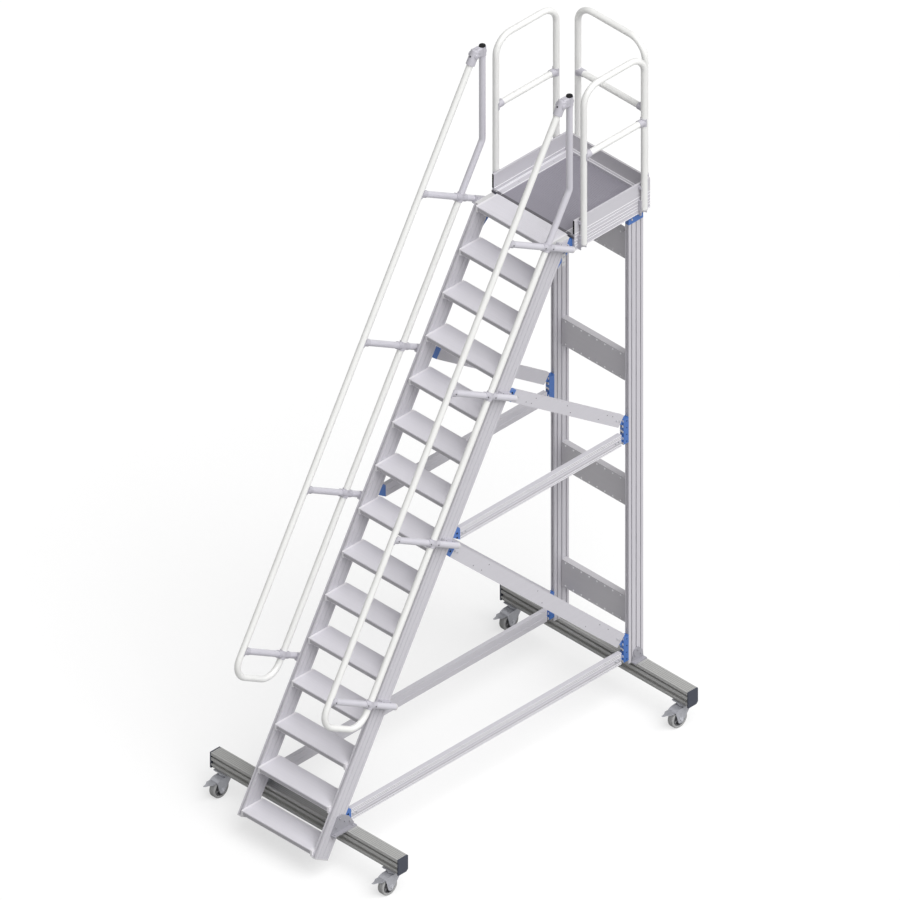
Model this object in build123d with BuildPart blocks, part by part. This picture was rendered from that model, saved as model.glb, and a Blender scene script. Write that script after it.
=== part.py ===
"""Mobile platform stairs: fifteen aluminium treads at sixty degrees up to a railed platform, on four swivel casters.

Millimetres. +X is to the climber's right, +Y is the way the climber faces, +Z is up. The origin is on the floor, in
the middle of the overall footprint.
"""

import os
from math import atan2, cos, radians, sin, tan

from build123d import *

os.makedirs("parts", exist_ok=True)

# Stair
slope = 60
rise = 240
step_count = 15
first_rise = 212
stair_width = 585
tread_depth = 175
tread_height = 30
tread_skin = 4
tread_nose_depth = 22
tread_rib_depth = 18
tread_rib_thickness = 4
tread_rib_shares = (0.34, 0.64)
tread_end_thickness = 14
tread_end_drop = 12

# Bars that make the stringers and the rear posts; a groove is its mouth, its cavity, its lip and its full depth
bar_depth = 120
bar_width = 30
bolt_groove = (7, 13, 2, 6)
line_groove = (3, 3, 1, 2)
groove_shares = (0.2, 0.51, 0.82)
stringer_setback = 20
stringer_foot_run = 35
plug_thickness = 6

# Base beams and their end caps
beam_length = 1540
beam_depth = 80
beam_height = 110
beam_cap_thickness = 10
beam_cap_chamfer = 14
beam_wheelbase = 2398
beam_groove_depth = 16
beam_groove_table = ((0.25, 15), (0.61, 26))  # height share up from the top edge, groove width
beam_foot_height = 20
beam_foot_setback = 10
front_beam_reach = 269

# Casters
caster_height = 162
caster_inset = 83
caster_trail = 48
caster_plate_length = 105
caster_plate_width = 84
caster_plate_thickness = 5
wheel_diameter = 125
tyre_width = 44
tyre_thickness = 17
tyre_shoulder = 8
rim_width = 40
hub_diameter = 34
hub_length = 54
web_thickness = 12
axle_diameter = 12
axle_head_diameter = 22
axle_head_thickness = 5
kingpin_diameter = 16
kingpin_head_diameter = 26
kingpin_head_thickness = 3
swivel_head_diameter = 72
swivel_head_height = 14
swivel_gap = 0.4
fork_gap = 1.5
fork_thickness = 4
fork_bridge_height = 6
fork_hood_share = 0.82
fork_tail = 34
fork_eye_diameter = 50
wheel_top_gap = 8
running_gap = 0.06
pedal_width = 54
pedal_neck_width = 24
pedal_neck_reach = 146
pedal_tip_width = 6
pedal_reach = 176
pedal_tip_height = 131
pedal_root_height = 121
pedal_thickness = 4
pedal_lip = 9
pedal_gap = 0.2

# Platform
deck_gap = 10
deck_length = 614
deck_thickness = 25
platform_half_width = 340
frame_height = 100
frame_thickness = 30
frame_flange_width = 78
frame_flange_thickness = 6
frame_ridge_depth = 2
frame_ridge_width = 5
frame_ridge_shares = (0.2, 0.55, 0.92)
upstand_height = 17
upstand_width = 18
toe_board_height = 113
toe_board_thickness = 12
front_rail_depth = 30
rear_rail_depth = 28
deck_edge_depth = 6
deck_edge_height = 14

# Rear frame
post_cap_height = 60
post_overhang = 4
cross_plate_height = 190
cross_plate_thickness = 4
cross_plate_flange = 40
cross_plate_setback = 60
cross_plate_levels = (591, 1431, 2321, 3195)

# Side bracing
brace_width = 30
brace_height = 82
low_brace_level = 340
middle_brace_level = 1901
brace_groove_width = 10
brace_groove_depth = 2
diagonal_thickness = 25
upper_diagonal_width = 80
upper_diagonal_high = 2667
upper_diagonal_low = 2035
lower_diagonal_width = 93
lower_diagonal_high = 1810
lower_diagonal_low = 464
connector_reach = 60
connector_foot = 55
connector_width = 30
tongue_thickness = 12
tongue_share = 0.5
post_block_depth = 42
post_block_below = 40
post_block_above = 139
platform_connector_drop = 75
platform_connector_rise = 28

# Tubes
tube_diameter = 40
tube_wall = 2
clamp_wall = 3.5
clamp_gap = 0.2
tee_length = 52
tube_plug_height = 6

# Guards around the platform
guard_height = 1039
knee_height = 564
guard_bend = 120
guard_post_drop = 58
side_guard_gap = 3.5
side_guard_front = 53
side_guard_span = 500
rear_guard_span = 554
bracket_thickness = 4
bracket_table = ((0, 100, 54), (177, 24, 48))  # foot above the frame's bottom, height, width

# Stair handrails
handrail_gap = 18
handrail_upper = 463
handrail_lower = 84
handrail_start = 800
handrail_bend = 110
upright_bend = 60
handrail_post_setback = 62
handrail_post_top = 1050
handrail_arm_shares = (0.0, 0.353, 0.675, 1.0)
handrail_arm_first = 965
handrail_arm_last = 3900
handrail_arm_end = 150
arm_cap_length = 10
elbow_socket = 86
elbow_sleeve = 60
elbow_drop = 34
elbow_radius = 28
elbow_web = 36
elbow_gap = 58
saddle_width = 50
saddle_length = 90
saddle_wrap = 12

# Feet that seat the stringers and posts on the beams
# Each outline is (run from the beam's middle, rise above its top)
foot_thickness = 8
foot_flange_width = 35
stringer_foot_outline = ((-145, 0), (-145, 12), (-91, 112), (-50, 112), (4, 74), (40, 18), (40, 0))
post_foot_outline = ((-57, 0), (-35, 82), (-3, 93), (30, 58), (40, 0))

# Reach of every cut past the surface it leaves
overrun = 5

# Places worked out from the sizes above
going = rise / tan(radians(slope))
tube_radius = tube_diameter / 2
clamp_radius = tube_radius + clamp_wall
climb_run = (step_count - 1) * going
total_length = climb_run + tread_depth + deck_gap + deck_length + toe_board_thickness + tube_diameter + clamp_wall
first_nosing = -total_length / 2
deck_top = first_rise + (step_count - 1) * rise
deck_front = first_nosing + climb_run + tread_depth + deck_gap
deck_rear = deck_front + deck_length
beam_top = caster_height + beam_height
front_beam_y = first_nosing + front_beam_reach
rear_beam_y = front_beam_y + beam_wheelbase
post_rear = rear_beam_y + beam_depth / 2 + post_overhang
post_front = post_rear - bar_depth
frame_bottom = deck_top - frame_height
bar_x = (stair_width + bar_width) / 2
outer_x = stair_width / 2 + bar_width
sides = (("left", -1), ("right", 1))


def keep(piece, label):
    """Name a finished piece and write it out."""
    piece.part.label = label
    export_step(piece.part, f"parts/{label}.step")


def groove(width_mouth, width_cavity, lip, depth):
    """Section of one undercut groove that opens at the local origin, towards +Y of the sketch."""
    with Locations((0, -lip / 2 + overrun / 2)):
        Rectangle(width_mouth, lip + overrun, mode=Mode.SUBTRACT)
    with Locations((0, -(lip + depth) / 2)):
        Rectangle(width_cavity, depth - lip, mode=Mode.SUBTRACT)


def bar_section(side_groove):
    """Section of a bar, from its front face at y = 0 to its rear face, centred on x = 0, grooved down each side."""
    with Locations((0, bar_depth / 2)):
        Rectangle(bar_width, bar_depth)
    for share in groove_shares:
        for way in (-1, 1):
            with Locations(Location((way * bar_width / 2, share * bar_depth, 0), (0, 0, -way * 90))):
                groove(*side_groove)
    with Locations(Location((0, 0, 0), (0, 0, 180)), Location((0, bar_depth, 0), (0, 0, 0))):
        groove(*bolt_groove)


def slope_plane(x):
    """Side view plane at x: local x runs up the slope from the first nosing, local y stands out from it."""
    return Plane(
        origin=(x, first_nosing, first_rise),
        x_dir=(0, cos(radians(slope)), sin(radians(slope))),
        z_dir=(1, 0, 0),
    )


def along_slope(t, d):
    """Height and depth of the point t up the slope line and d out from it."""
    y = first_nosing + t * cos(radians(slope)) - d * sin(radians(slope))
    z = first_rise + t * sin(radians(slope)) + d * cos(radians(slope))
    return y, z


def stringer_rear_at(z):
    """Depth of the stringer's rear face at a height."""
    behind = (stringer_setback + bar_depth) / sin(radians(slope))
    return first_nosing + (z - first_rise) / tan(radians(slope)) + behind


def bar_corners(high_z, low_z, width):
    """Side view of a straight bar, square across at both ends, from the stringer down or level to the post.

    The corners are the stringer end's upper and lower one, then the post end's lower and upper one.
    """
    high = Vector(stringer_rear_at(high_z) + connector_reach, high_z)
    low = Vector(post_front - connector_reach, low_z)
    along = (low - high).normalized()
    half = Vector(-along.Y, along.X) * width / 2
    return high + half, high - half, low - half, low + half


# Base beams: two grooves front and rear and a set-back foot along the underside
for beam_name, beam_y in (("base_beam_front", front_beam_y), ("base_beam_rear", rear_beam_y)):
    with BuildPart() as base_beam:
        with BuildSketch(Plane.YZ.offset(-beam_length / 2)):
            with Locations((beam_y, caster_height + beam_height / 2)):
                Rectangle(beam_depth, beam_height)
            for share, width in beam_groove_table:
                for way in (-1, 1):
                    with Locations((beam_y + way * beam_depth / 2, beam_top - share * beam_height)):
                        Rectangle(2 * beam_groove_depth, width, mode=Mode.SUBTRACT)
            for way in (-1, 1):
                with Locations((beam_y + way * beam_depth / 2, caster_height)):
                    Rectangle(2 * beam_foot_setback, 2 * beam_foot_height, mode=Mode.SUBTRACT)
        extrude(amount=beam_length)
    keep(base_beam, beam_name)

with BuildPart() as beam_end_caps:
    for way in (-1, 1):
        for beam_y in (front_beam_y, rear_beam_y):
            with BuildSketch(Plane.YZ.offset(way * (beam_length + beam_cap_thickness) / 2)):
                with Locations((beam_y, caster_height + beam_height / 2)):
                    Rectangle(beam_depth, beam_height)
            extrude(amount=beam_cap_thickness / 2, both=True)
    chamfer(
        beam_end_caps.edges().filter_by(Axis.X).group_by(Axis.Z)[0].group_by(Axis.Y)[-1]
        + beam_end_caps.edges().filter_by(Axis.X).group_by(Axis.Z)[0].group_by(Axis.Y)[1],
        length=beam_cap_chamfer,
    )
keep(beam_end_caps, "beam_end_caps")

# Stringers: cut square at the foot and level at the top, beside the last tread
for side, way in sides:
    foot_y, foot_z = along_slope(-stringer_foot_run, -stringer_setback)
    with BuildPart() as stringer:
        with BuildSketch(
            Plane(
                origin=(way * bar_x, foot_y, foot_z),
                x_dir=(1, 0, 0),
                z_dir=(0, cos(radians(slope)), sin(radians(slope))),
            )
        ):
            bar_section(line_groove)
        extrude(amount=(deck_top - first_rise) / sin(radians(slope)) + bar_depth + stringer_foot_run)
        split(bisect_by=Plane.XY.offset(deck_top - plug_thickness), keep=Keep.BOTTOM)
    keep(stringer, f"stringer_{side}")

with BuildPart() as stringer_plugs:
    for side, way in sides:
        with BuildSketch(slope_plane(way * bar_x)):
            with Locations((-stringer_foot_run - plug_thickness / 2, -stringer_setback - bar_depth / 2)):
                Rectangle(plug_thickness, bar_depth)
        extrude(amount=bar_width / 2, both=True)
        top_front = first_nosing + climb_run + stringer_setback / sin(radians(slope))
        top_run = bar_depth / sin(radians(slope))
        with BuildSketch(Plane.XY.offset(deck_top - plug_thickness)):
            with Locations((way * bar_x, top_front + top_run / 2)):
                Rectangle(bar_width, top_run)
        extrude(amount=plug_thickness)
keep(stringer_plugs, "stringer_plugs")

# Treads: ribbed open profile between end plates
tread_length = stair_width - 2 * tread_end_thickness
with BuildPart() as treads:
    with BuildSketch(Plane.YZ.offset(-tread_length / 2)):
        for step in range(step_count):
            nosing = first_nosing + step * going
            top = first_rise + step * rise
            with Locations((nosing + tread_depth / 2, top - tread_skin / 2)):
                Rectangle(tread_depth, tread_skin)
            with Locations(
                (nosing + tread_nose_depth / 2, top - tread_height / 2),
                (nosing + tread_depth - tread_rib_depth / 2, top - tread_height / 2),
            ):
                Rectangle(tread_nose_depth, tread_height)
            for share in tread_rib_shares:
                with Locations((nosing + share * tread_depth, top - tread_height / 2)):
                    Rectangle(tread_rib_thickness, tread_height)
    extrude(amount=tread_length)
keep(treads, "treads")

with BuildPart() as tread_ends:
    for side, way in sides:
        with BuildSketch(Plane.YZ.offset(way * (stair_width - tread_end_thickness) / 2)):
            for step in range(step_count):
                middle = first_nosing + step * going + tread_depth / 2
                top = first_rise + step * rise
                with Locations((middle, top - (tread_height + tread_end_drop) / 2)):
                    Rectangle(tread_depth, tread_height + tread_end_drop)
        extrude(amount=tread_end_thickness / 2, both=True)
keep(tread_ends, "tread_ends")

# Rear posts with their caps
for side, way in sides:
    with BuildPart() as rear_post:
        with BuildSketch(Plane((way * bar_x, post_front, beam_top))):
            bar_section(bolt_groove)
        extrude(amount=frame_bottom - post_cap_height - beam_top)
    keep(rear_post, f"rear_post_{side}")

# Cross plates: folded channels between the posts
with BuildPart() as cross_plates:
    with BuildSketch(Plane.YZ.offset(-stair_width / 2)):
        face = post_front + cross_plate_setback
        for level in cross_plate_levels:
            with Locations((face + cross_plate_flange / 2, level)):
                Rectangle(cross_plate_flange, cross_plate_height)
            with Locations((face + cross_plate_thickness + cross_plate_flange / 2, level)):
                Rectangle(cross_plate_flange, cross_plate_height - 2 * cross_plate_thickness, mode=Mode.SUBTRACT)
    extrude(amount=stair_width)
keep(cross_plates, "cross_plates")

# Level braces with a groove along each side, and flat diagonals, from the stringers back to the posts
level_braces = (
    (low_brace_level, low_brace_level, brace_height),
    (middle_brace_level, middle_brace_level, brace_height),
)
diagonal_bars = (
    (lower_diagonal_high, lower_diagonal_low, lower_diagonal_width),
    (upper_diagonal_high, upper_diagonal_low, upper_diagonal_width),
)
with BuildPart() as side_braces:
    for high_z, low_z, width in level_braces:
        start = bar_corners(high_z, low_z, width)[0].X
        finish = bar_corners(high_z, low_z, width)[-1].X
        with BuildSketch(Plane.XZ.offset(-start)):
            for side, way in sides:
                with Locations((way * bar_x, high_z)):
                    Rectangle(brace_width, width)
                for face in (-1, 1):
                    with Locations((way * bar_x + face * brace_width / 2, high_z)):
                        Rectangle(2 * brace_groove_depth, brace_groove_width, mode=Mode.SUBTRACT)
        extrude(amount=start - finish)
keep(side_braces, "side_braces")

with BuildPart() as diagonals:
    for high_z, low_z, width in diagonal_bars:
        for side, way in sides:
            with BuildSketch(Plane.YZ.offset(way * bar_x)):
                with BuildLine():
                    Polyline(*bar_corners(high_z, low_z, width), close=True)
                make_face()
            extrude(amount=diagonal_thickness / 2, both=True)
keep(diagonals, "diagonals")

# Platform frame, deck and toe boards
frame_rear = deck_rear + toe_board_thickness
deck_half_width = platform_half_width - frame_flange_width
for side, way in sides:
    with BuildPart() as platform_side:
        with BuildSketch(Plane.XZ.offset(-deck_front)):
            with Locations((way * (platform_half_width - frame_thickness / 2), deck_top - frame_height / 2)):
                Rectangle(frame_thickness, frame_height)
            flange_x = platform_half_width - frame_flange_width / 2
            with Locations((way * flange_x, deck_top - frame_flange_thickness / 2)):
                Rectangle(frame_flange_width, frame_flange_thickness)
            with Locations((way * (platform_half_width - upstand_width / 2), deck_top + upstand_height / 2)):
                Rectangle(upstand_width, upstand_height)
            for share in frame_ridge_shares:
                with Locations((way * platform_half_width, frame_bottom + share * frame_height)):
                    Rectangle(2 * frame_ridge_depth, frame_ridge_width, mode=Mode.SUBTRACT)
        extrude(amount=-(frame_rear - deck_front))
    keep(platform_side, f"platform_side_{side}")

with BuildPart() as deck:
    with BuildSketch(Plane.XY.offset(deck_top)):
        with Locations((0, (deck_front + deck_rear - rear_rail_depth) / 2)):
            Rectangle(2 * deck_half_width, deck_rear - rear_rail_depth - deck_front)
    extrude(amount=-deck_thickness)
keep(deck, "deck")

with BuildPart() as deck_edge:
    with BuildSketch(Plane.XY.offset(deck_top)):
        with Locations((0, deck_front - deck_edge_depth / 2)):
            Rectangle(2 * platform_half_width, deck_edge_depth)
    extrude(amount=-deck_edge_height)
keep(deck_edge, "deck_edge")

with BuildPart() as platform_rails:
    with BuildSketch(Plane.XY.offset(frame_bottom)):
        with Locations((0, deck_front + front_rail_depth / 2)):
            Rectangle(2 * (platform_half_width - frame_thickness), front_rail_depth)
    extrude(amount=frame_height - deck_thickness)
    rear_rail_middle = (deck_rear - rear_rail_depth + frame_rear) / 2
    for foot_z, top_z, half_width in (
        (frame_bottom, deck_top - frame_flange_thickness, platform_half_width - frame_thickness),
        (deck_top - frame_flange_thickness, deck_top, deck_half_width),
        (deck_top, deck_top + upstand_height, platform_half_width - upstand_width),
    ):
        with BuildSketch(Plane.XY.offset(foot_z)):
            with Locations((0, rear_rail_middle)):
                Rectangle(2 * half_width, rear_rail_depth + toe_board_thickness)
        extrude(amount=top_z - foot_z)
keep(platform_rails, "platform_rails")

for side, way in sides:
    with BuildPart() as toe_board:
        with BuildSketch(Plane.XY.offset(deck_top + upstand_height)):
            with Locations((way * (platform_half_width - toe_board_thickness / 2), (deck_front + deck_rear) / 2)):
                Rectangle(toe_board_thickness, deck_length)
        extrude(amount=toe_board_height - upstand_height)
    keep(toe_board, f"toe_board_{side}")

with BuildPart() as toe_board_rear:
    with BuildSketch(Plane.XY.offset(deck_top + upstand_height)):
        with Locations((0, deck_rear + toe_board_thickness / 2)):
            Rectangle(2 * platform_half_width, toe_board_thickness)
    extrude(amount=toe_board_height - upstand_height)
keep(toe_board_rear, "toe_board_rear")


def bent_tube(points, bend, plane):
    """One bent tube along the corners given in a plane, with the same radius at each bend."""
    with BuildPart() as tube:
        with BuildLine(plane) as route:
            FilletPolyline(*points, radius=bend)
        with BuildSketch(Plane(origin=route.line @ 0, z_dir=route.line % 0)):
            Circle(tube_radius)
            Circle(tube_radius - tube_wall, mode=Mode.SUBTRACT)
        sweep(path=route.line)
    return tube


def cylinder_between(start, end, radius, mode=Mode.ADD):
    """Solid cylinder from one point to another."""
    start, end = Vector(start), Vector(end)
    with Locations(Plane(origin=(start + end) / 2, z_dir=end - start)):
        Cylinder(radius, (end - start).length, mode=mode)


def straight_tube(start, end):
    """Hollow tube from one point to another."""
    start, end = Vector(start), Vector(end)
    beyond = (end - start).normalized() * overrun
    cylinder_between(start, end, tube_radius)
    cylinder_between(start - beyond, end + beyond, tube_radius - tube_wall, Mode.SUBTRACT)


def tee(place, along, towards):
    """Tube fitting: a saddle on one side of a tube that runs along one way, with a socket towards another tube."""
    place, along, towards = Vector(place), Vector(along).normalized(), Vector(towards).normalized()
    bore = tube_radius + clamp_gap
    with BuildSketch(Plane(origin=place - along * tee_length / 2, x_dir=towards, z_dir=along)) as saddle:
        Circle(clamp_radius)
        with Locations((-clamp_radius / 2, 0)):
            Rectangle(clamp_radius, 2 * clamp_radius, mode=Mode.SUBTRACT)
    extrude(saddle.sketch, amount=tee_length)
    cylinder_between(place, place + towards * (clamp_radius + tee_length / 2), clamp_radius)
    reach = tee_length / 2 + overrun
    cylinder_between(place - along * reach, place + along * reach, bore, Mode.SUBTRACT)
    mouth = clamp_radius + tee_length / 2 + overrun
    cylinder_between(place + towards * clamp_radius, place + towards * mouth, bore, Mode.SUBTRACT)


# Guards: three bent tubes, each with a knee rail between tee fittings
rail_z = deck_top + guard_height
knee_z = deck_top + knee_height
guard_foot = deck_top - guard_post_drop
side_guard_x = platform_half_width + side_guard_gap + tube_radius
side_guard_y = (deck_front + side_guard_front, deck_front + side_guard_front + side_guard_span)
rear_guard_y = frame_rear + tube_radius
rear_guard_x = rear_guard_span / 2
for side, way in sides:
    guard = bent_tube(
        (
            (side_guard_y[0], guard_foot),
            (side_guard_y[0], rail_z),
            (side_guard_y[1], rail_z),
            (side_guard_y[1], guard_foot),
        ),
        guard_bend,
        Plane.YZ.offset(way * side_guard_x),
    )
    keep(guard, f"guard_{side}")

guard_rear = bent_tube(
    (
        (-rear_guard_x, guard_foot),
        (-rear_guard_x, rail_z),
        (rear_guard_x, rail_z),
        (rear_guard_x, guard_foot),
    ),
    guard_bend,
    Plane.XZ.offset(-rear_guard_y),
)
keep(guard_rear, "guard_rear")

guard_posts = [
    ((way * side_guard_x, side_guard_y[end], 0), (0, 1 - 2 * end, 0), (-way, 0, 0))
    for side, way in sides
    for end in (0, 1)
] + [((way * rear_guard_x, rear_guard_y, 0), (-way, 0, 0), (0, -1, 0)) for side, way in sides]

with BuildPart() as knee_rails:
    for side, way in sides:
        straight_tube(
            (way * side_guard_x, side_guard_y[0] + clamp_radius, knee_z),
            (way * side_guard_x, side_guard_y[1] - clamp_radius, knee_z),
        )
    straight_tube((-rear_guard_x + clamp_radius, rear_guard_y, knee_z), (rear_guard_x - clamp_radius, rear_guard_y, knee_z))
keep(knee_rails, "knee_rails")

with BuildPart() as guard_tees:
    for foot, inward, seat in guard_posts:
        tee(Vector(foot) + Vector(0, 0, knee_z), (0, 0, 1), inward)
keep(guard_tees, "guard_tees")

# Guard brackets: a plate against the platform with a saddle for the post, a whole ring where the post touches it
with BuildPart() as guard_brackets:
    for foot, inward, seat in guard_posts:
        gap = side_guard_gap if seat[0] else 0
        reach = tube_radius + gap
        for lift, height, width in bracket_table:
            with BuildSketch(Plane(Vector(foot) + Vector(0, 0, frame_bottom + lift), x_dir=seat)):
                Circle(clamp_radius)
                with Locations((reach / 2, 0)):
                    Rectangle(reach, 2 * clamp_radius)
                with Locations((reach - bracket_thickness / 2, 0)):
                    Rectangle(bracket_thickness, width)
                Circle(tube_radius + clamp_gap, mode=Mode.SUBTRACT)
                with Locations((reach + width / 2, 0)):
                    Rectangle(width, width, mode=Mode.SUBTRACT)
                if gap:
                    with Locations((-clamp_radius / 2, 0)):
                        Rectangle(clamp_radius, 2 * clamp_radius, mode=Mode.SUBTRACT)
            extrude(amount=height)
keep(guard_brackets, "guard_brackets")

# Stair handrails: one bent loop each side, and the tube that goes on from its lower end to stand at the platform
handrail_x = outer_x + handrail_gap + tube_radius
handrail_post_y = deck_front - handrail_post_setback
post_run = (handrail_post_y - first_nosing) / cos(radians(slope))
turn_t = post_run + handrail_lower * tan(radians(slope))
upper_end_t = (handrail_post_y - elbow_gap - first_nosing) / cos(radians(slope)) + handrail_upper * tan(radians(slope))
post_end_z = deck_top + handrail_post_top
for side, way in sides:
    handrail = bent_tube(
        (
            along_slope(handrail_arm_last, handrail_lower),
            along_slope(handrail_start, handrail_lower),
            along_slope(handrail_start, handrail_upper),
            along_slope(upper_end_t, handrail_upper),
        ),
        handrail_bend,
        Plane.YZ.offset(way * handrail_x),
    )
    keep(handrail, f"handrail_{side}")

uprights = [
    bent_tube(
        (
            (handrail_post_y, post_end_z),
            along_slope(turn_t, handrail_lower),
            along_slope(handrail_arm_last, handrail_lower),
        ),
        upright_bend,
        Plane.YZ.offset(way * handrail_x),
    )
    for side, way in sides
]
with BuildPart() as handrail_uprights:
    add([upright.part for upright in uprights])
keep(handrail_uprights, "handrail_uprights")


def slope_point(way, t, d):
    """Point of the handrail's plane, t up the slope line and d out from it."""
    return Vector(way * handrail_x, *along_slope(t, d))


# Arms square to the slope, from the upper tube past the stringer's rear face
arm_places = [
    handrail_arm_first + share * (handrail_arm_last - handrail_arm_first) for share in handrail_arm_shares
]
for side, way in sides:
    with BuildPart() as handrail_arms:
        for t in arm_places:
            straight_tube(
                slope_point(way, t, handrail_upper - clamp_radius),
                slope_point(way, t, handrail_lower + clamp_radius),
            )
            straight_tube(
                slope_point(way, t, handrail_lower - clamp_radius),
                slope_point(way, t, -handrail_arm_end),
            )
    keep(handrail_arms, f"handrail_arms_{side}")

with BuildPart() as handrail_tees:
    along = (0, cos(radians(slope)), sin(radians(slope)))
    out = (0, -sin(radians(slope)), cos(radians(slope)))
    back = (0, sin(radians(slope)), -cos(radians(slope)))
    for side, way in sides:
        for t in arm_places:
            tee(slope_point(way, t, handrail_upper), along, back)
            tee(slope_point(way, t, handrail_lower), along, out)
            tee(slope_point(way, t, handrail_lower), along, back)
keep(handrail_tees, "handrail_tees")

with BuildPart() as tube_end_caps:
    for side, way in sides:
        for t in arm_places:
            end = slope_point(way, t, -handrail_arm_end)
            tip = slope_point(way, t, -handrail_arm_end - arm_cap_length)
            cylinder_between(end, tip, tube_radius)
    for foot, inward, seat in guard_posts:
        end = Vector(foot) + Vector(0, 0, guard_foot)
        cylinder_between(end - Vector(0, 0, arm_cap_length), end, tube_radius)
keep(tube_end_caps, "tube_end_caps")

# Elbows that join the handrail's open end to its post
with BuildPart() as handrail_elbows:
    sleeve_z = post_end_z - elbow_drop
    for side, way in sides:
        upper_end = slope_point(way, upper_end_t, handrail_upper)
        knuckle = slope_point(way, upper_end_t - clamp_radius, handrail_upper)
        socket_foot = slope_point(way, upper_end_t - elbow_socket, handrail_upper)
        post_axis = Vector(way * handrail_x, handrail_post_y, 0)
        with BuildSketch(Plane.YZ.offset(way * handrail_x)):
            with Locations((knuckle.Y, knuckle.Z), (handrail_post_y, sleeve_z)):
                Circle(tube_radius)
            make_hull()
        extrude(amount=elbow_web / 2, both=True)
        cylinder_between(socket_foot, slope_point(way, upper_end_t + clamp_wall, handrail_upper), elbow_radius)
        for reach, radius, mode in (
            (elbow_sleeve / 2, clamp_radius, Mode.ADD),
            (elbow_sleeve, tube_radius + clamp_gap, Mode.SUBTRACT),
        ):
            low = post_axis + Vector(0, 0, sleeve_z - reach)
            high = post_axis + Vector(0, 0, sleeve_z + reach)
            cylinder_between(low, high, radius, mode)
        below = slope_point(way, upper_end_t - elbow_socket - overrun, handrail_upper)
        cylinder_between(below, upper_end, tube_radius + clamp_gap, Mode.SUBTRACT)
keep(handrail_elbows, "handrail_elbows")

with BuildPart() as handrail_plugs:
    for side, way in sides:
        end = Vector(way * handrail_x, handrail_post_y, post_end_z)
        cylinder_between(end, end + Vector(0, 0, tube_plug_height), tube_radius)
keep(handrail_plugs, "handrail_plugs")

# Saddles that hold the arms off the stringers' outer faces
with BuildPart() as arm_saddles:
    for side, way in sides:
        for t in arm_places:
            with BuildSketch(slope_plane(way * outer_x)):
                with Locations((t, -stringer_setback - bar_depth / 2)):
                    Rectangle(saddle_width, saddle_length)
            extrude(amount=way * (handrail_gap + saddle_wrap))
    for side, way in sides:
        for t in arm_places:
            cylinder_between(
                slope_point(way, t, overrun),
                slope_point(way, t, -handrail_arm_end),
                tube_radius + clamp_gap,
                Mode.SUBTRACT,
            )
keep(arm_saddles, "arm_saddles")

# Wedge connectors: from the stringers' rear face and the posts' front face to the square ends of the bars, one that
# carries the platform's front end on each stringer, and a clamp block on each post's top
with BuildPart() as connectors:
    for side, way in sides:
        with BuildSketch(Plane.YZ.offset(way * bar_x)):
            for high_z, low_z, width in level_braces + diagonal_bars:
                upper, lower = bar_corners(high_z, low_z, width)[:2]
                foot_z = high_z + connector_foot
                with BuildLine():
                    Polyline(
                        (stringer_rear_at(high_z), high_z), lower, upper, (stringer_rear_at(foot_z), foot_z), close=True
                    )
                make_face()
            for level, _, _ in level_braces:
                block_middle = level + (post_block_above - post_block_below) / 2
                with Locations((post_front - post_block_depth / 2, block_middle)):
                    Rectangle(post_block_depth, post_block_above + post_block_below)
            with BuildLine():
                foot_z = frame_bottom - platform_connector_drop
                head_z = deck_top - deck_edge_height - frame_ridge_width
                Polyline(
                    (stringer_rear_at(foot_z), foot_z),
                    (deck_front, frame_bottom + platform_connector_rise),
                    (deck_front, head_z),
                    (stringer_rear_at(head_z), head_z),
                    close=True,
                )
            make_face()
        extrude(amount=connector_width / 2, both=True)
        with BuildSketch(Plane.YZ.offset(way * bar_x)):
            for bar in level_braces + diagonal_bars:
                stringer_upper, _, post_lower, post_upper = bar_corners(*bar)
                middle = (post_lower + post_upper) / 2
                half = (post_upper - post_lower) * tongue_share / 2
                along = (post_upper - stringer_upper).normalized() * 2 * (connector_reach - post_block_depth)
                with BuildLine():
                    Polyline(middle - half, middle + half, middle + half + along, middle - half + along, close=True)
                make_face()
        extrude(amount=tongue_thickness / 2, both=True)
        with Locations((way * bar_x, (post_front + post_rear) / 2, frame_bottom - post_cap_height / 2)):
            Box(bar_width, bar_depth, post_cap_height)
keep(connectors, "connectors")

# Feet of the stringers and posts: a plate on the outer side, with a flange along the beam's top
with BuildPart() as beam_feet:
    for beam_y, outline in ((front_beam_y, stringer_foot_outline), (rear_beam_y, post_foot_outline)):
        first_run, last_run = outline[0][0], outline[-1][0]
        for side, way in sides:
            with BuildSketch(Plane.YZ.offset(way * outer_x)):
                with BuildLine():
                    Polyline(*[(beam_y + run, beam_top + lift) for run, lift in outline], close=True)
                make_face()
            extrude(amount=way * foot_thickness)
            flange_y = beam_y + (first_run + last_run) / 2
            with Locations((way * (outer_x + foot_flange_width / 2), flange_y, beam_top + foot_thickness / 2)):
                Box(foot_flange_width, last_run - first_run, foot_thickness)
keep(beam_feet, "beam_feet")

# Casters: a plate and kingpin under the beam, a swivelling fork with its pedal and axle, a wheel with its tyre
caster_x = beam_length / 2 - caster_inset + beam_cap_thickness
wheel_radius = wheel_diameter / 2
bridge_low = wheel_diameter + wheel_top_gap
bridge_high = bridge_low + fork_bridge_height
hood_radius = bridge_high - wheel_radius
head_high = caster_height - caster_plate_thickness - swivel_gap
fork_inner = hub_length / 2 + fork_gap
fork_outer = fork_inner + fork_thickness
kingpin_low = bridge_low - swivel_gap
casters = [
    (f"{row}_{side}", way * caster_x, beam_y)
    for row, beam_y in (("front", front_beam_y), ("rear", rear_beam_y))
    for side, way in sides
]

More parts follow.
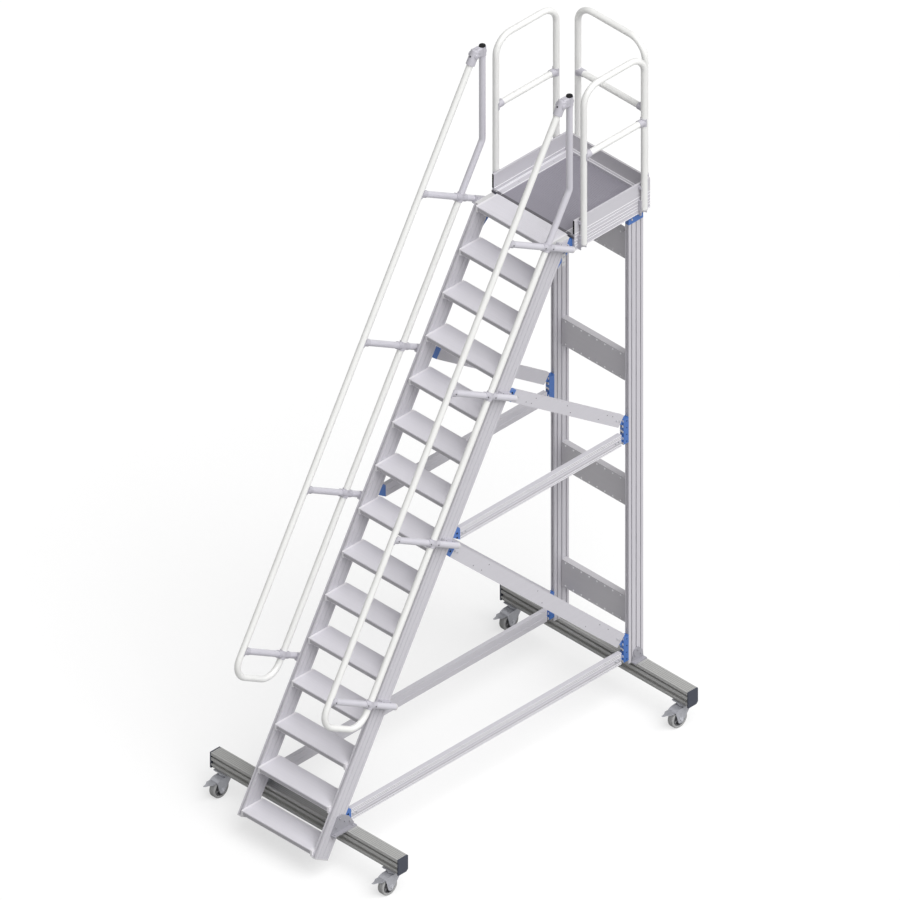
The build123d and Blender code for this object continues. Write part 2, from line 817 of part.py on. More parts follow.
with BuildPart() as caster_plates:
    for corner, x, y in casters:
        with Locations((x, y, caster_height - caster_plate_thickness / 2)):
            Box(caster_plate_length, caster_plate_width, caster_plate_thickness)
        pin_top = Vector(x, y, caster_height - caster_plate_thickness)
        cylinder_between(Vector(x, y, kingpin_low), pin_top, kingpin_diameter / 2)
        head_foot = Vector(x, y, kingpin_low - kingpin_head_thickness)
        cylinder_between(head_foot, Vector(x, y, kingpin_low), kingpin_head_diameter / 2)
keep(caster_plates, "caster_plates")

for corner, x, y in casters:
    axle_y = y - caster_trail
    with BuildPart() as caster_fork:
        with BuildSketch(Plane.YZ.offset(x)):
            with Locations((axle_y, wheel_radius)):
                Circle(hood_radius)
            with Locations((axle_y - hood_radius / 2, wheel_radius + (1 + fork_hood_share) * hood_radius / 2)):
                Rectangle(hood_radius, (1 - fork_hood_share) * hood_radius, mode=Mode.INTERSECT)
            with Locations((axle_y, wheel_radius)):
                Circle(fork_eye_diameter / 2)
            with Locations(((axle_y + y + fork_tail) / 2, bridge_high - fork_bridge_height / 2)):
                Rectangle(y + fork_tail - axle_y, fork_bridge_height)
            make_hull()
        extrude(amount=fork_outer, both=True)
        with BuildSketch(Plane.YZ.offset(x)):
            with Locations((axle_y, wheel_radius)):
                Circle(hood_radius - fork_bridge_height)
            with Locations((y + fork_tail, bridge_low / 2)):
                Rectangle(2 * (y + fork_tail - axle_y), bridge_low)
        extrude(amount=fork_inner, both=True, mode=Mode.SUBTRACT)
        cylinder_between(Vector(x, y, bridge_high), Vector(x, y, head_high), swivel_head_diameter / 2)
        cylinder_between(
            Vector(x, y, bridge_low - overrun),
            Vector(x, y, caster_height),
            kingpin_diameter / 2 + running_gap,
            Mode.SUBTRACT,
        )
        cylinder_between(
            Vector(x - fork_outer - overrun, axle_y, wheel_radius),
            Vector(x + fork_outer + overrun, axle_y, wheel_radius),
            axle_diameter / 2 + running_gap,
            Mode.SUBTRACT,
        )
    keep(caster_fork, f"caster_fork_{corner}")

    with BuildPart() as wheel_axle:
        cylinder_between(
            Vector(x - fork_outer, axle_y, wheel_radius), Vector(x + fork_outer, axle_y, wheel_radius), axle_diameter / 2
        )
        for way in (-1, 1):
            cylinder_between(
                Vector(x + way * fork_outer, axle_y, wheel_radius),
                Vector(x + way * (fork_outer + axle_head_thickness), axle_y, wheel_radius),
                axle_head_diameter / 2,
            )
    keep(wheel_axle, f"wheel_axle_{corner}")

    with BuildPart() as brake_pedal:
        tip_y = y - pedal_reach
        with BuildSketch(Plane.YZ.offset(x)):
            with BuildLine():
                Polyline(
                    (axle_y, pedal_root_height),
                    (axle_y, pedal_root_height + pedal_thickness),
                    (tip_y + pedal_lip, pedal_tip_height),
                    (tip_y, pedal_tip_height + pedal_thickness),
                    (tip_y, pedal_tip_height),
                    (tip_y + pedal_lip, pedal_tip_height - pedal_thickness),
                    close=True,
                )
            make_face()
        extrude(amount=pedal_width / 2, both=True)
        with BuildSketch(Plane.XY):
            with BuildLine():
                Polyline(
                    (x - pedal_width / 2, axle_y),
                    (x + pedal_width / 2, axle_y),
                    (x + pedal_width / 2, axle_y - hood_radius),
                    (x + pedal_neck_width / 2, y - pedal_neck_reach),
                    (x + pedal_tip_width / 2, tip_y),
                    (x - pedal_tip_width / 2, tip_y),
                    (x - pedal_neck_width / 2, y - pedal_neck_reach),
                    (x - pedal_width / 2, axle_y - hood_radius),
                    close=True,
                )
            make_face()
        extrude(amount=caster_height, mode=Mode.INTERSECT)
        cylinder_between(
            Vector(x - pedal_width, axle_y, wheel_radius),
            Vector(x + pedal_width, axle_y, wheel_radius),
            hood_radius + pedal_gap,
            Mode.SUBTRACT,
        )
    keep(brake_pedal, f"brake_pedal_{corner}")

    rim_radius = wheel_radius - tyre_thickness
    with BuildPart() as caster_wheel:
        with BuildSketch(Plane.XZ.offset(-axle_y)):
            with Locations((x, wheel_radius + hub_diameter / 4)):
                Rectangle(hub_length, hub_diameter / 2)
            with Locations((x, wheel_radius + rim_radius / 2)):
                Rectangle(web_thickness, rim_radius)
            with Locations((x, wheel_radius + rim_radius - web_thickness / 4)):
                Rectangle(rim_width, web_thickness / 2)
        revolve(axis=Axis((x, axle_y, wheel_radius), (1, 0, 0)))
        cylinder_between(
            Vector(x - hub_length, axle_y, wheel_radius),
            Vector(x + hub_length, axle_y, wheel_radius),
            axle_diameter / 2 + running_gap,
            Mode.SUBTRACT,
        )
    keep(caster_wheel, f"caster_wheel_{corner}")

    with BuildPart() as tyre:
        with BuildSketch(Plane.XZ.offset(-axle_y)) as tyre_half:
            with Locations((x, wheel_radius + (rim_radius + wheel_radius + running_gap) / 2)):
                Rectangle(tyre_width, tyre_thickness - running_gap)
            fillet(tyre_half.vertices().group_by(Axis.Z)[-1], radius=tyre_shoulder)
        revolve(axis=Axis((x, axle_y, wheel_radius), (1, 0, 0)))
    keep(tyre, f"tyre_{corner}")
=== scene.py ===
"""Mobile platform stairs: finishes, small fittings, camera and light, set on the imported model's frame.

Metres. +X is to the climber's right, +Y is the way the climber faces, +Z is up.
"""

import math

import bpy
from mathutils import Matrix, Vector


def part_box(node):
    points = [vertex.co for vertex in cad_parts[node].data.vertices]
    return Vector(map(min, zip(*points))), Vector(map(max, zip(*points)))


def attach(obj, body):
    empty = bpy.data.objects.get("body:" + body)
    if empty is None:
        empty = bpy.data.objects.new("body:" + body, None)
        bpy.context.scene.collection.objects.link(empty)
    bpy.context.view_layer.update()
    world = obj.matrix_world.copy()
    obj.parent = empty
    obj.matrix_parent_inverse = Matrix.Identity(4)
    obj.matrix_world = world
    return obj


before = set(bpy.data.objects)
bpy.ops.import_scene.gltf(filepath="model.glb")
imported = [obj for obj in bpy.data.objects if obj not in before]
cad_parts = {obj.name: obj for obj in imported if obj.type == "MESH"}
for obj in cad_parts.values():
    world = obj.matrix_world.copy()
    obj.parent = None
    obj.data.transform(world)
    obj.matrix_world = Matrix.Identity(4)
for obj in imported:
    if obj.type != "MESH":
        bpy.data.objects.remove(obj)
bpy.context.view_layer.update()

# Stair
slope = math.radians(60)
rise = 0.240
going = rise / math.tan(slope)
step_count = 15
first_rise = 0.212
tread_depth = 0.175
tread_end_thickness = 0.014
first_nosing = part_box("treads")[0].y
stair_half = -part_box("tread_ends")[0].x
deck_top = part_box("deck")[1].z

# Directions that the bars and tubes run in
across = Vector((1, 0, 0))
rearward = Vector((0, 1, 0))
upright = Vector((0, 0, 1))
up_slope = Vector((0, math.cos(slope), math.sin(slope)))
out_of_slope = Vector((0, -math.sin(slope), math.cos(slope)))

# Bars
bar_width = 0.030
bar_depth = 0.120
bar_x = stair_half + bar_width / 2
outer_x = stair_half + bar_width
stringer_setback = 0.020

# Tubes and fittings
tube_radius = 0.020
clamp_radius = 0.0235
handrail_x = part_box("handrail_right")[1].x - tube_radius
handrail_upper = 0.463
handrail_lower = 0.084
arm_first = 0.965
arm_last = 3.900
arm_places = [arm_first + share * (arm_last - arm_first) for share in (0.0, 0.353, 0.675, 1.0)]
arm_end = 0.150
ways = (-1, 1)  # to either side of a middle: left and right, or front and rear


def along_slope(x, t, d):
    """Point t up the slope line from the first nosing and d out from it."""
    return Vector((x, first_nosing, first_rise)) + t * up_slope + d * out_of_slope


class Signal:
    """A shader socket that adds and multiplies as numbers do."""

    def __init__(self, finish, socket):
        self.finish, self.socket = finish, socket

    def combined(self, operation, other):
        return self.finish.node("ShaderNodeMath", {"operation": operation}, {0: self, 1: other})

    def __add__(self, other):
        return self.combined("ADD", other)

    def __mul__(self, other):
        return self.combined("MULTIPLY", other)

    __radd__, __rmul__ = __add__, __mul__


class Finish:
    """A procedural material or world, put together node by node."""

    def __init__(self, tree):
        self.tree = tree
        tree.nodes.clear()

    def node(self, kind, settings=None, inputs=None, output=0):
        """Add a node of a type with its settings, then its socket values or links, and return one output."""
        node = self.tree.nodes.new(kind)
        for name, value in (settings or {}).items():
            if name == "stops":
                ramp = node.color_ramp
                while len(ramp.elements) < len(value):
                    ramp.elements.new(0.5)
                for element, (place, grey) in zip(ramp.elements, value):
                    element.position, element.color = place, (grey, grey, grey, 1)
            else:
                setattr(node, name, value)
        for name, value in (inputs or {}).items():
            if isinstance(value, Signal):
                self.tree.links.new(value.socket, node.inputs[name])
            else:
                node.inputs[name].default_value = value
        return Signal(self, node.outputs[output]) if node.outputs else None

    def place(self):
        """Place on the piece, in metres, which moves with it."""
        return self.node("ShaderNodeTexCoord", output="Object")

    def stretched(self, along, scale):
        """Place on the piece with distances along one direction scaled: under 1, grain runs that way."""
        place = self.place()
        run = self.vector("DOT_PRODUCT", {0: place, 1: along}, "Value")
        shift = self.vector("SCALE", {0: along, "Scale": run * (scale - 1)})
        return self.vector("ADD", {0: place, 1: shift})

    def vector(self, operation, inputs, output="Vector"):
        return self.node("ShaderNodeVectorMath", {"operation": operation}, inputs, output)

    def noise(self, place, scale, detail=3.0, roughness=0.55):
        return self.node(
            "ShaderNodeTexNoise",
            {"noise_dimensions": "3D"},
            {"Vector": place, "Scale": scale, "Detail": detail, "Roughness": roughness},
        )

    def ramp(self, value, *stops):
        return self.node("ShaderNodeValToRGB", {"stops": stops}, {"Fac": value})

    def mix(self, share, first, second):
        return self.node("ShaderNodeMix", {"data_type": "RGBA"}, {0: share, 6: first, 7: second}, output=2)

    def bump(self, height, depth):
        return self.node("ShaderNodeBump", {}, {"Height": height, "Distance": depth, "Strength": 1.0})

    def close(self, **inputs):
        """Finish the material with one surface shader; names use _ for a space."""
        shader = self.node(
            "ShaderNodeBsdfPrincipled", {}, {name.replace("_", " "): value for name, value in inputs.items()}
        )
        self.node("ShaderNodeOutputMaterial", {}, {"Surface": shader})


def new_material(name):
    material = bpy.data.materials.new(name)
    material.use_nodes = True
    return material, Finish(material.node_tree)


def colour(red, green, blue):
    """Screen colour, 0 to 255, as the linear colour that shaders take."""
    return tuple(((c / 255 + 0.055) / 1.055) ** 2.4 for c in (red, green, blue)) + (1.0,)


def shade(tone, share, lift=0.0):
    """The same colour, darker or paler."""
    return tuple(min(1.0, share * c + lift) for c in tone[:3]) + (1.0,)


def drawn_aluminium(name, tone, along, roughness=0.5):
    """Anodised extrusion: fine die lines along the bar, faint bands and a few handling scuffs."""
    material, finish = new_material(name)
    lines = finish.noise(finish.stretched(along, 0.004), 520, 4)
    bands = finish.noise(finish.stretched(along, 0.02), 60, 2)
    clouds = finish.noise(finish.place(), 3.5, 4)
    scuffs = finish.ramp(finish.noise(finish.stretched(along, 0.35), 26, 6, 0.7), (0.62, 0.0), (0.74, 1.0))
    pale = shade(tone, 1.07)
    worn = finish.mix(0.55 * lines + 0.25 * bands + 0.2 * clouds, shade(tone, 0.86), pale)
    finish.close(
        Base_Color=finish.mix(0.16 * scuffs, worn, pale),
        Metallic=0.06,
        Roughness=roughness - 0.07 + 0.14 * lines + 0.08 * scuffs,
        Normal=finish.bump(0.7 * lines + 0.3 * bands, 0.00012),
    )
    return material


def satin_tube(name, tone):
    """Anodised tube: satin, with polishing marks and the odd thumb smear."""
    material, finish = new_material(name)
    marks = finish.noise(finish.place(), 900, 3)
    smears = finish.ramp(finish.noise(finish.place(), 9, 5, 0.65), (0.45, 0.0), (0.75, 1.0))
    finish.close(
        Base_Color=finish.mix(0.5 * smears + 0.3 * marks, tone, shade(tone, 0.93)),
        Metallic=0.05,
        Roughness=0.3 + 0.1 * smears + 0.06 * marks,
        Normal=finish.bump(marks, 0.00005),
        Coat_Weight=0.25,
        Coat_Roughness=0.18,
    )
    return material


def cast_fitting(name, tone):
    """Pressure-cast aluminium fitting: tumbled skin with fine pits."""
    material, finish = new_material(name)
    skin = finish.noise(finish.place(), 420, 5, 0.6)
    pits = finish.ramp(finish.noise(finish.place(), 1300, 2), (0.30, 0.0), (0.42, 1.0))
    clouds = finish.noise(finish.place(), 40, 3)
    finish.close(
        Base_Color=finish.mix(0.5 * skin + 0.3 * clouds + 0.2 * pits, shade(tone, 0.82), tone),
        Metallic=0.06,
        Roughness=0.38 + 0.16 * skin,
        Normal=finish.bump(0.6 * skin + 0.4 * pits, 0.0002),
    )
    return material


def moulded_plastic(name, tone, roughness=0.42, gloss=0.5):
    """Moulded plastic: fine pebble grain, slight flow marks and paler rubbed patches."""
    material, finish = new_material(name)
    pebbles = finish.noise(finish.place(), 1400, 2, 0.4)
    flow = finish.noise(finish.place(), 35, 4)
    rubbed = finish.ramp(finish.noise(finish.place(), 90, 5, 0.7), (0.58, 0.0), (0.75, 1.0))
    body = finish.mix(0.6 * flow + 0.2 * pebbles, shade(tone, 0.84), tone)
    finish.close(
        Base_Color=finish.mix(0.3 * rubbed, body, shade(tone, 1.18, 0.01)),
        Roughness=roughness + 0.12 * rubbed + 0.06 * pebbles,
        Normal=finish.bump(pebbles, 0.00008),
        Specular_IOR_Level=gloss,
    )
    return material


def zinc_steel(name, tone):
    """Zinc-plated pressed steel: faint crystal patches, a fine skin and dull stains."""
    material, finish = new_material(name)
    patches = finish.node(
        "ShaderNodeTexVoronoi", {"feature": "F1"}, {"Vector": finish.place(), "Scale": 140.0}, output="Color"
    )
    patch = finish.node("ShaderNodeSeparateColor", {}, {"Color": patches})
    skin = finish.noise(finish.place(), 700, 4)
    stain = finish.ramp(finish.noise(finish.place(), 22, 5, 0.7), (0.5, 0.0), (0.72, 1.0))
    finish.close(
        Base_Color=finish.mix(0.45 * patch + 0.35 * skin + 0.2 * stain, tone, shade(tone, 0.76)),
        Metallic=0.35,
        Roughness=0.34 + 0.14 * skin + 0.1 * stain,
        Normal=finish.bump(skin, 0.00008),
    )
    return material


def tyre_rubber(name, tone):
    """Non-marking grey rubber: matt and dusty, with fine scuffs that run round the tyre."""
    material, finish = new_material(name)
    dust = finish.noise(finish.place(), 60, 6, 0.7)
    scuffs = finish.noise(finish.stretched(across, 6.0), 240, 4)
    finish.close(
        Base_Color=finish.mix(0.6 * dust + 0.4 * scuffs, shade(tone, 0.72), tone),
        Roughness=0.66 + 0.2 * dust,
        Normal=finish.bump(0.5 * dust + 0.5 * scuffs, 0.0003),
    )
    return material


bar_tone = colour(203, 201, 207)
finishes = {
    "stringer": drawn_aluminium("stringer_aluminium", bar_tone, up_slope),
    "post": drawn_aluminium("post_aluminium", bar_tone, upright),
    "brace": drawn_aluminium("brace_aluminium", bar_tone, rearward),
    "beam": drawn_aluminium("beam_aluminium", colour(172, 172, 170), across),
    "tread": drawn_aluminium("tread_aluminium", colour(222, 220, 226), across),
    "tread_end": drawn_aluminium("tread_end_aluminium", colour(232, 230, 234), rearward, roughness=0.34),
    # Painted highlight: a near-white copy of the bar metal, for beads and rivets that stand in for the glints
    # on ridges and rivet heads
    "painted_light_bead": drawn_aluminium("painted_highlight_aluminium", colour(244, 243, 246), rearward, roughness=0.3),
    # Painted shade: a dark copy of the bar metal, for strips that stand in for the shade in grooves
    "groove_shade": drawn_aluminium("painted_groove_shade_aluminium", colour(118, 118, 116), across, roughness=0.6),
    "nosing_face": drawn_aluminium("nosing_face_aluminium", colour(178, 176, 181), across, roughness=0.6),
    "plate": drawn_aluminium("sheet_aluminium", colour(200, 198, 202), across, roughness=0.44),
    "frame": drawn_aluminium("platform_aluminium", colour(202, 200, 206), rearward),
    "deck": drawn_aluminium("deck_aluminium", colour(150, 147, 157), across, roughness=0.56),
    "deck_edge": moulded_plastic("deck_nosing_rubber", colour(104, 102, 108), roughness=0.6),
    "tube": satin_tube("tube_aluminium", colour(236, 236, 234)),
    "arm": satin_tube("arm_aluminium", colour(202, 200, 208)),
    "cast": cast_fitting("cast_fitting", colour(194, 192, 200)),
    "foot": cast_fitting("foot_casting", colour(160, 159, 166)),
    "blue": moulded_plastic("blue_plastic", colour(70, 114, 186)),
    "black": moulded_plastic("black_plastic", colour(18, 18, 20), roughness=0.55, gloss=0.15),
    "slate": moulded_plastic("slate_plastic", colour(62, 66, 78), gloss=0.3),
    "light": moulded_plastic("light_plastic", colour(214, 213, 214)),
    "zinc": zinc_steel("zinc_steel", colour(174, 175, 181)),
    "wheel": moulded_plastic("wheel_plastic", colour(92, 92, 95)),
    "hub": moulded_plastic("hub_plastic", colour(150, 150, 152)),
    "tyre": tyre_rubber("tyre_rubber", colour(178, 178, 178)),
    "bolt": zinc_steel("bolt_steel", colour(196, 197, 202)),
}

corners = ("front_left", "front_right", "rear_left", "rear_right")


def each_corner(stem):
    """The four casters' nodes of one kind."""
    return tuple(f"{stem}_{corner}" for corner in corners)


node_finishes = {
    "stringer": ("stringer_left", "stringer_right"),
    "post": ("rear_post_left", "rear_post_right"),
    "brace": ("side_braces", "diagonals"),
    "beam": ("base_beam_front", "base_beam_rear"),
    "tread": ("treads",),
    "tread_end": ("tread_ends",),
    "plate": ("cross_plates", "toe_board_rear"),
    "frame": (
        "platform_side_left", "platform_side_right", "platform_rails", "toe_board_left", "toe_board_right",
    ),
    "deck": ("deck",),
    "deck_edge": ("deck_edge",),
    "tube": (
        "guard_left", "guard_right", "guard_rear", "knee_rails", "handrail_left", "handrail_right",
    ),
    "arm": ("handrail_arms_left", "handrail_arms_right", "handrail_uprights"),
    "cast": ("guard_tees", "guard_brackets", "handrail_tees", "handrail_elbows", "arm_saddles"),
    "foot": ("beam_feet",),
    "blue": ("connectors",),
    "black": ("handrail_plugs",),
    "slate": ("beam_end_caps",),
    "light": ("tube_end_caps", "stringer_plugs"),
    "zinc": ("caster_plates",) + each_corner("caster_fork") + each_corner("brake_pedal"),
    "bolt": each_corner("wheel_axle"),
    "wheel": each_corner("caster_wheel"),
    "tyre": each_corner("tyre"),
}
for key, names in node_finishes.items():
    for name in names:
        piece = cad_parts[name]
        piece.data.materials.clear()
        piece.data.materials.append(finishes[key])


def seat(point, outward, spin=0.0):
    """Frame of a small fitting: its foot at a point and its height along the outward direction."""
    turn = Vector(outward).to_track_quat("Z", "Y").to_matrix().to_4x4()
    return Matrix.Translation(Vector(point)) @ turn @ Matrix.Rotation(spin, 4, "Z")


def dome(radius, height, angles):
    """Profile of a flattened dome, from its rim to its top."""
    return [(radius * math.cos(angle), height * math.sin(angle)) for angle in angles] + [(0, height)]


class Fittings:
    """Many small solids gathered into one mesh."""

    def __init__(self):
        self.points, self.faces, self.smooth = [], [], []

    def add(self, points, faces, place, smooth=False):
        start = len(self.points)
        self.points.extend(place @ Vector(point) for point in points)
        self.faces.extend([start + corner for corner in face] for face in faces)
        self.smooth.extend([smooth] * len(faces))

    def turned(self, profile, place, count=20, smooth=True):
        """Solid turned about the local height; the profile is (radius, height) from the foot to the top."""
        points, rings = [], []
        for radius, height in profile:
            if radius == 0:
                rings.append([len(points)])
                points.append((0, 0, height))
                continue
            rings.append(list(range(len(points), len(points) + count)))
            for step in range(count):
                angle = 2 * math.pi * step / count
                points.append((radius * math.cos(angle), radius * math.sin(angle), height))
        faces = []
        for low, high in zip(rings, rings[1:]):
            for step in range(count):
                after = (step + 1) % count
                if len(low) == 1:
                    faces.append((low[0], high[after], high[step]))
                elif len(high) == 1:
                    faces.append((low[step], low[after], high[0]))
                else:
                    faces.append((low[step], low[after], high[after], high[step]))
        self.add(points, faces, place, smooth)

    def block(self, width, length, height, place, edge=0.0):
        """Block that stands on its local foot, with its top edges bevelled."""
        half_x, half_y = width / 2, length / 2
        levels = ((0, 0), (0, height - edge), (edge, height)) if edge else ((0, 0), (0, height))
        points = []
        for inset, level in levels:
            for sign_x, sign_y in ((-1, -1), (1, -1), (1, 1), (-1, 1)):
                points.append((sign_x * (half_x - inset), sign_y * (half_y - inset), level))
        faces = [(3, 2, 1, 0), tuple(range(len(points) - 4, len(points)))]
        for ring in range(len(levels) - 1):
            for step in range(4):
                low, after = 4 * ring + step, 4 * ring + (step + 1) % 4
                faces.append((low, after, after + 4, low + 4))
        self.add(points, faces, place)

    def bolt(self, place, size):
        """Hexagon head on a washer; the size is the thread's."""
        skin, flats = 0.16 * size, 0.92 * size
        shoulder, top = skin + 0.465 * size, skin + 0.62 * size
        washer = ((0, 0), (size, 0), (size, 0.8 * skin), (0.93 * size, skin), (0, skin))
        head = ((flats, skin), (flats, shoulder), (0.86 * flats, top), (0, top))
        self.turned(washer, place, 24, False)
        self.turned(head, place, 6, False)

    def rivet(self, place, radius=0.004, height=0.0018):
        """Low domed head."""
        self.turned([(0, 0)] + dome(radius, height, (0, 0.35, 0.7, 1.05, 1.3)), place, 14)

    def button(self, place, radius, rim, crown, count=12):
        """Plain screw head, as high as its rim at the edge and as its crown in the middle."""
        self.turned(((0, 0), (radius, 0), (radius, rim), (0, crown)), place, count, False)

    def cap_screw(self, place, radius, hole, levels, count):
        """Screw head with a round socket; the levels are its foot, rim, the socket's lip and its floor."""
        foot, rim, lip, floor = levels
        profile = ((0, foot), (radius, foot), (radius, rim), (hole, lip), (hole, floor), (0, floor))
        self.turned(profile, place, count, False)

    def finish(self, name, key, slot, body="root"):
        """Make the piece, give it its finish and let it ride on its body."""
        mesh = bpy.data.meshes.new(name)
        mesh.from_pydata(self.points, [], self.faces)
        mesh.polygons.foreach_set("use_smooth", self.smooth)
        mesh.materials.append(finishes[key])
        mesh.update()
        piece = bpy.data.objects.new(name, mesh)
        bpy.context.scene.collection.objects.link(piece)
        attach(piece, body)


# Places along the depth and height that the fittings share
beam_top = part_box("base_beam_front")[1].z
beam_height = 0.110
beam_depth = 0.080
beam_lines = [sum((corner.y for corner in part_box(f"base_beam_{row}")), 0.0) / 2 for row in ("front", "rear")]
post_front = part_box("rear_post_left")[0].y
frame_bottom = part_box("platform_rails")[0].z
platform_half = 0.340
deck_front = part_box("deck")[0].y
deck_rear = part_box("toe_board_rear")[0].y
frame_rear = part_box("toe_board_rear")[1].y
toe_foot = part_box("toe_board_left")[0].z
toe_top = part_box("toe_board_left")[1].z
toe_thickness = 0.012
bead_sink = 0.0003
small_edge = 0.001


def stringer_rear_at(z):
    """Depth of the stringer's rear face at a height."""
    nosing_line = first_nosing + (z - first_rise) / math.tan(slope)
    return nosing_line + (stringer_setback + bar_depth) / math.sin(slope)


def run_along(gather, start, end, outward, width, height, edge=0.0):
    """Straight bead between two points of a face, standing out from it."""
    start, end, outward = Vector(start), Vector(end), Vector(outward)
    length = (end - start).length
    along = (end - start).normalized()
    turn = Matrix((outward.cross(along), along, outward)).transposed().to_4x4()
    foot = (start + end) / 2 - bead_sink * outward
    gather.block(width, length, height + bead_sink, Matrix.Translation(foot) @ turn, edge)


# Treads: anti-slip ridges along each tread, a dull face on its nosing, and bolts into its end plates
ridge_pitch = 0.0078
ridge_width = 0.0032
tread_ridge = (ridge_width, 0.0009, 0.0006)  # width, height and bevelled edge, here and in the beads below
ridge_end_gap = 0.018
ridge_count = int((tread_depth - ridge_width) / ridge_pitch)
nosing_face = (0.020, 0.0006)
nosing_face_drop = 0.017
nosing_face_end_gap = 0.016
tread_bolt = 0.006
tread_bolt_drop = 0.018
tread_bolt_shares = (0.23, 0.49, 0.79)
tread_bolt_turn = 0.3
tread_ridges = Fittings()
tread_bolts = Fittings()
nosing_faces = Fittings()
for step in range(step_count):
    nosing = first_nosing + step * going
    top = first_rise + step * rise
    reach = stair_half - ridge_end_gap
    for ridge in range(ridge_count):
        y = nosing + ridge_width + ridge * ridge_pitch
        run_along(tread_ridges, (-reach, y, top), (reach, y, top), upright, *tread_ridge)
    for way in ways:
        for share in tread_bolt_shares:
            x, y = way * (stair_half - tread_end_thickness), nosing + share * tread_depth
            place = seat((x, y, top - tread_bolt_drop), -way * across, tread_bolt_turn * step)
            tread_bolts.bolt(place, tread_bolt)
    reach = stair_half - nosing_face_end_gap
    z = top - nosing_face_drop
    run_along(nosing_faces, (-reach, nosing, z), (reach, nosing, z), -rearward, *nosing_face)
tread_ridges.finish("tread_ridges", "tread", slot="tread_aluminium")
tread_bolts.finish("tread_bolts", "bolt", slot="zinc_steel")
nosing_faces.finish("tread_nosing_faces", "nosing_face", slot="tread_aluminium")

# Cross plates: a row of rivets along the top and bottom edge of each, near white as a painted highlight
plate_levels = (0.591, 1.431, 2.321, 3.195)
plate_half_height = 0.095
plate_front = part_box("cross_plates")[0].y
rivet_inset = 0.014
rivet_columns = 9
plate_rivet_radius = 0.006
plate_rivet_height = 0.003
cross_rivets = Fittings()
for level in plate_levels:
    for edge in (-1, 1):
        z = level + edge * (plate_half_height - rivet_inset)
        for column in range(rivet_columns):
            x = stair_half * (2 * (column + 0.5) / rivet_columns - 1)
            cross_rivets.rivet(seat((x, plate_front, z), -rearward), plate_rivet_radius, plate_rivet_height)
cross_rivets.finish("cross_plate_rivets", "painted_light_bead", slot="zinc_steel")

# Deck: fine ridges across it, with a narrow one at each joint between planks, and the strip on its front edge
deck_ridge_pitch = 0.0118
deck_ridge = (0.0048, 0.0012, 0.0006)
joint_ridge = (0.0024, 0.0012, 0.0006)
ridges_on_plank = 8
deck_ridge_end_gap = 0.004
strip_setback = 0.006
strip_end_gap = 0.020
strip = (0.014, 0.0016, 0.0008)
deck_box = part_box("deck")
deck_ridges = Fittings()
for ridge in range(int((deck_box[1].y - deck_box[0].y) / deck_ridge_pitch)):
    y = deck_box[0].y + (ridge + 0.5) * deck_ridge_pitch
    start = (deck_box[0].x + deck_ridge_end_gap, y, deck_top)
    end = (deck_box[1].x - deck_ridge_end_gap, y, deck_top)
    at_joint = ridge % ridges_on_plank == ridges_on_plank - 1
    run_along(deck_ridges, start, end, upright, *(joint_ridge if at_joint else deck_ridge))
deck_ridges.finish("deck_ridges", "deck", slot="deck_aluminium")
edge_strip = Fittings()
reach = platform_half - strip_end_gap
y = deck_front + strip_setback
run_along(edge_strip, (-reach, y, deck_top), (reach, y, deck_top), upright, *strip)
edge_strip.finish("deck_edge_strip", "deck_edge", slot="black_plastic")

# Platform: beads along the sides and round the deck's border, near white as painted highlights, black end caps
# on the toe boards, rivets inside
side_bead_lifts = (0.0045, 0.0315, 0.0505, 0.0725, 0.0985)
side_bead = (0.0028, 0.0012, 0.0006)
joint_bead_lift = 0.002
joint_bead = (0.004, 0.0014)
ledge_bead_inset = 0.0152
ledge_bead_rear_gap = 0.028
ledge_bead = (0.004, 0.002, 0.0008)
border_bead_insets = (0.026, 0.034, 0.072)
border_bead = (0.0030, 0.0022, 0.0008)
rear_bead_insets = (0.005, 0.024)
rear_bead_end_gap = 0.020
rear_bead = (0.005, 0.002, 0.0008)
toe_cap_thickness = 0.003
platform_rivet_shares = (0.03, 0.27, 0.5, 0.73, 0.97)
toe_rivet_lift = 0.014
border_rivet_inset = 0.052
border_rivet_radius = 0.0045
platform_highlight_beads = Fittings()
toe_caps = Fittings()
platform_rivets = Fittings()
for way in ways:
    outward = way * across
    face = way * platform_half
    for lift in side_bead_lifts:
        z = frame_bottom + lift
        run_along(platform_highlight_beads, (face, deck_front, z), (face, frame_rear, z), outward, *side_bead)
    z = toe_foot + joint_bead_lift
    run_along(platform_highlight_beads, (face, deck_front, z), (face, frame_rear, z), outward, *joint_bead)
    x = way * (platform_half - ledge_bead_inset)
    ledge_end = deck_rear - ledge_bead_rear_gap
    run_along(platform_highlight_beads, (x, deck_front, toe_foot), (x, ledge_end, toe_foot), upright, *ledge_bead)
    for inset in border_bead_insets:
        x = way * (platform_half - inset)
        run_along(platform_highlight_beads, (x, deck_front, deck_top), (x, deck_rear, deck_top), upright, *border_bead)
    x = way * (platform_half - toe_thickness / 2)
    cap_place = seat((x, deck_front, (toe_foot + toe_top) / 2), -rearward)
    toe_caps.block(toe_thickness, toe_top - toe_foot, toe_cap_thickness, cap_place, small_edge)
    for share in platform_rivet_shares:
        y = deck_front + share * (frame_rear - deck_front)
        toe_face = way * (platform_half - toe_thickness)
        platform_rivets.rivet(seat((toe_face, y, toe_foot + toe_rivet_lift), -outward))
        border = way * (platform_half - border_rivet_inset)
        platform_rivets.rivet(seat((border, y, deck_top), upright), border_rivet_radius)
for inset in rear_bead_insets:
    reach = platform_half - rear_bead_end_gap
    y = deck_rear - inset
    run_along(platform_highlight_beads, (-reach, y, toe_foot), (reach, y, toe_foot), upright, *rear_bead)
platform_highlight_beads.finish("platform_highlight_beads", "painted_light_bead", slot="bar_aluminium")
toe_caps.finish("toe_board_caps", "black", slot="black_plastic")
platform_rivets.finish("platform_rivets", "bolt", slot="zinc_steel")
